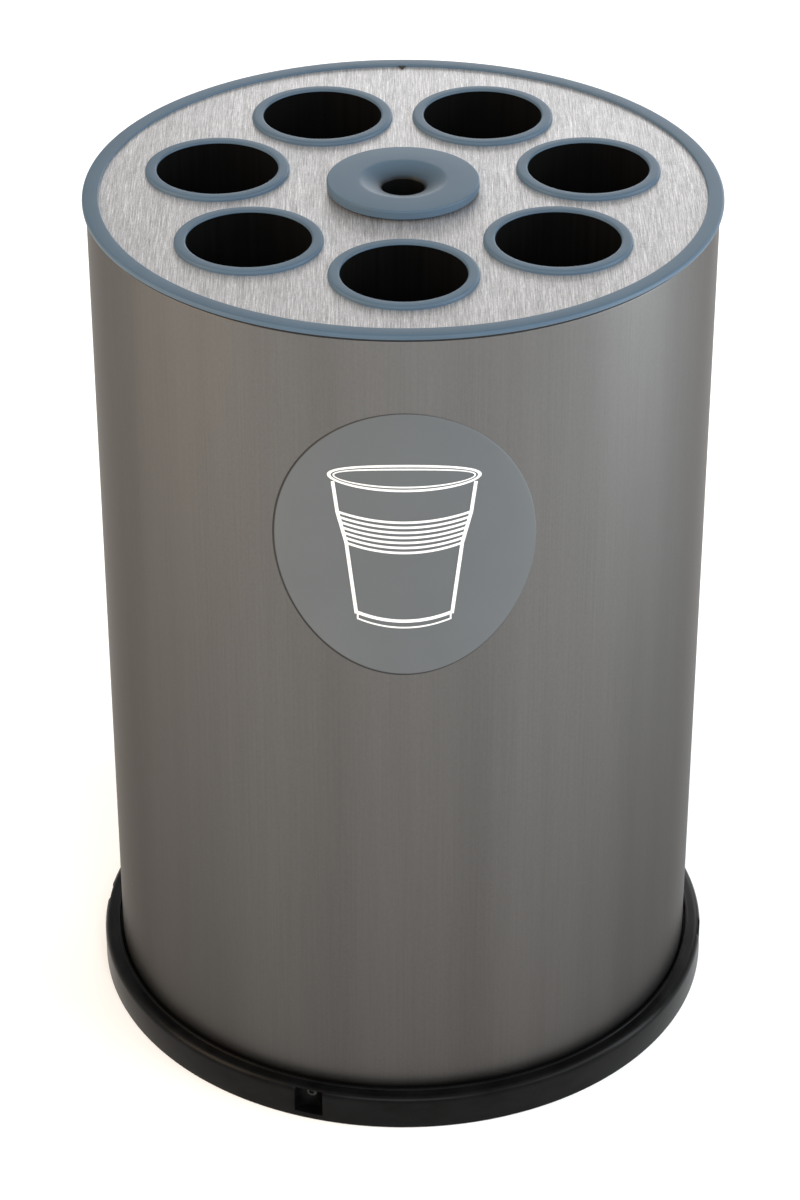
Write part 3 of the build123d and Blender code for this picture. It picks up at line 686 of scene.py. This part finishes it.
def build_collar(number):
    """Port collar: flat flange on the skin, soft lip over the tube, neck through the lid."""
    node = f"port_ring_{number}"
    low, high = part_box(node)
    flange_r = radius_of(node)
    port_r, neck_in, neck_r = flange_r - 7.0 * MM, flange_r - 5.5 * MM, flange_r - 3.4 * MM
    lip_bottom = high.z - 1.4 * MM
    mesh = lathe(soften([
        (neck_in, low.z, 0.3 * MM),
        (neck_r, low.z, 0.5 * MM),
        (neck_r, SKIN_TOP, 0),
        (flange_r, SKIN_TOP, 0),
        (flange_r, high.z, 1.8 * MM),
        (port_r, high.z, 1.3 * MM),
        (port_r, lip_bottom, 0),
        (neck_in, lip_bottom, 0),
    ]), COLLAR_TURN, centre_of(node))
    add_piece(f"collar_{number}", mesh, "lid", "blue_grey_plastic", [node])


def build_tube(number):
    """Cup tube with the two ribs that hold its guide, and softened ends."""
    node = f"cup_tube_{number}"
    low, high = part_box(node)
    rib_r = radius_of(node)
    tube_r, bore_r = rib_r - 1.2 * MM, rib_r - 2.6 * MM
    guide_low, guide_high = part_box("guide_hub")
    gap, rib = 0.2 * MM, 2.0 * MM
    below, above = guide_low.z - gap, guide_high.z + gap
    mesh = lathe(soften([
        (bore_r, low.z, 0.5 * MM),
        (tube_r, low.z, 0.5 * MM),
        (tube_r, below - rib, 0),
        (rib_r, below, 0.15 * MM),
        (tube_r, below, 0),
        (tube_r, above, 0),
        (rib_r, above, 0.3 * MM),
        (rib_r, above + rib, 0.6 * MM),
        (tube_r, above + 1.5 * rib, 0),
        (tube_r, high.z, 0),
        (bore_r, high.z, 0),
    ]), TUBE_TURN, centre_of(node))
    add_piece(f"tube_{number}", mesh, "lid", "tube_black", [node])


def build_stirrer_tube():
    """Centre tube with its screwed flange."""
    low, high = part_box("stirrer_tube")
    flange_r = high.x
    flange_bottom = high.z - 3.0 * MM
    outer, inner = flange_r - 9.8 * MM, flange_r - 11.3 * MM
    mesh = lathe(soften([
        (inner, low.z, 0.5 * MM),
        (outer, low.z, 0.5 * MM),
        (outer, flange_bottom, 1.5 * MM),
        (flange_r, flange_bottom, 0.8 * MM),
        (flange_r, high.z, 0.3 * MM),
        (inner, high.z, 0.3 * MM),
    ]), TUBE_TURN)
    add_piece("stirrer_shaft", mesh, "lid", "tube_black", ["stirrer_tube"])


build_rim()
build_rim_key()
build_seal()
for number in range(1, PORTS + 1):
    build_collar(number)
    build_tube(number)
build_stirrer_tube()


# ================================================================ funnel
def build_funnel():
    """Raised disc with a shallow dish that turns down into the throat, on a foot that leaves a shadow gap."""
    foot_r, spigot_r, spigot_in = DISC_R - 4.0 * MM, DISC_R - 16.5 * MM, DISC_R - 18.5 * MM
    foot_bottom, spigot_bottom = SKIN_TOP + 0.2 * MM, panel_low.z - 8.0 * MM
    spout_r, spout_root, vault_top = DISC_R - 31.5 * MM, SKIN_TOP - 4.0 * MM, SKIN_TOP - 1.5 * MM
    dish_r, dish_floor_r, dish_floor = DISC_R - 20.0 * MM, DISC_R - 31.5 * MM, funnel_high.z - 4.2 * MM
    throat_top = dish_floor - 2.0 * MM
    mesh = lathe(soften([
        (THROAT_R, funnel_low.z, 0.5 * MM),
        (spout_r, funnel_low.z, 0.5 * MM),
        (spout_r, spout_root, 1.0 * MM),
        (spigot_in, vault_top, 1.0 * MM),
        (spigot_in, spigot_bottom, 0.4 * MM),
        (spigot_r, spigot_bottom, 0.4 * MM),
        (spigot_r, foot_bottom, 0),
        (foot_r, foot_bottom, 0.3 * MM),
        (foot_r, HEIGHT, 0.3 * MM),
        (DISC_R, HEIGHT, 0.6 * MM),
        (DISC_R, funnel_high.z, 1.1 * MM),
        (dish_r, funnel_high.z, 7.0 * MM),
        (dish_floor_r, dish_floor, 1.5 * MM),
        (THROAT_R, throat_top, 0.8 * MM),
    ], steps=8), DISC_TURN)
    add_piece("funnel_disc", mesh, "funnel", "blue_grey_plastic", ["funnel"])


build_funnel()


# ================================================================ tray
def build_tray():
    """Deep basin with a ledge for the grid and a rolled rim to lift it by."""
    low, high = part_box("tray_wall")
    rim_r, wall = high.x, 2.0 * MM
    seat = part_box("drain_grid")[0].z - 0.2 * MM
    floor_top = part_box("tray_floor")[1].z
    mesh = lathe(soften([
        (0.0, low.z, 0),
        (rim_r - 12.0 * MM, low.z, 5.0 * MM),
        (rim_r - 9.0 * MM, seat - wall, 0.5 * MM),
        (rim_r - 4.5 * MM, seat - wall, 0.5 * MM),
        (rim_r - 3.5 * MM, high.z - wall, 0.5 * MM),
        (rim_r, high.z - wall, 0.8 * MM),
        (rim_r, high.z, 0.8 * MM),
        (rim_r - 5.4 * MM, high.z, 0.8 * MM),
        (rim_r - 6.5 * MM, seat, 0.3 * MM),
        (rim_r - 11.0 * MM, seat, 0.6 * MM),
        (rim_r - 14.0 * MM, floor_top, 4.0 * MM),
        (0.0, floor_top, 0),
    ]), TRAY_TURN)
    add_piece("tray", mesh, "tray", "tray_grey", ["tray_wall", "tray_floor"])


build_tray()

# ================================================================ floor, light
FLOOR_HALF = 40.0
FLOOR_GAP = 0.2 * MM
FLOOR_GLOW = 0.16
WORLD_STRENGTH = 0.56
WHITE = (1.0, 1.0, 1.0)
WARM = (1.0, 0.76, 0.50)
PALE_WARM = (1.0, 0.84, 0.66)
COOL = (0.90, 0.96, 1.0)
PALE_COOL = (0.92, 0.97, 1.0)


def make_floor_pale():
    """Matt, nearly white and even, with a faint glow of its own."""
    s = Shader("floor", Roughness=0.9, Emission_Color=(*WHITE, 1.0), Emission_Strength=FLOOR_GLOW)
    return s.finish(s.ramp(s.noise((3, 3, 3)), (0.3, 0.90), (0.7, 0.92)))


def area_light(name, place, aim, size, power, colour=WHITE):
    """Soft rectangular light at a place, turned towards a point."""
    data = bpy.data.lights.new(name, "AREA")
    data.shape = "RECTANGLE"
    data.size, data.size_y = size
    data.energy = power
    data.color = colour
    light = bpy.data.objects.new(name, data)
    light.location = place
    light.rotation_euler = (Vector(aim) - Vector(place)).to_track_quat("-Z", "Y").to_euler()
    scene.collection.objects.link(light)


floor_corners = [(x * FLOOR_HALF, y * FLOOR_HALF, 0.0) for x, y in ((-1, -1), (1, -1), (1, 1), (-1, 1))]
floor_mesh = bpy.data.meshes.new("floor")
floor_mesh.from_pydata(floor_corners, [], [(0, 1, 2, 3)])
floor_mesh.materials.append(make_floor_pale())
floor = bpy.data.objects.new("floor", floor_mesh)
floor.location.z = -FLOOR_GAP
scene.collection.objects.link(floor)

# places and aims in metres, power in watts
lid_middle = (0.0, 0.0, HEIGHT)
upper_body = (0.0, 0.0, 0.6 * HEIGHT)
body_middle = (0.0, 0.0, 0.5 * HEIGHT)
area_light("back", (0.65, 2.1, 0.85), lid_middle, (2.2, 0.9), 21.0)
area_light("left", (-2.3, -0.7, 1.7), upper_body, (1.2, 1.8), 48.0, WARM)
area_light("left_low", (-1.9, 0.3, 1.1), upper_body, (0.8, 1.2), 2.5, PALE_WARM)
area_light("right", (1.9, -0.15, 0.9), body_middle, (0.6, 1.6), 27.0, COOL)
area_light("right_front", (2.1, -1.3, 1.6), (0.2, -0.4, 0.0), (1.0, 1.4), 18.0, PALE_COOL)
area_light("front", (0.0, -3.2, 2.4), (0.0, -0.6, 0.0), (2.6, 1.4), 66.0)

world = bpy.data.worlds.new("studio")
scene.world = world
world.use_nodes = True
background = world.node_tree.nodes["Background"]
background.inputs["Color"].default_value = (*WHITE, 1.0)
background.inputs["Strength"].default_value = WORLD_STRENGTH
scene.view_settings.view_transform = "Standard"
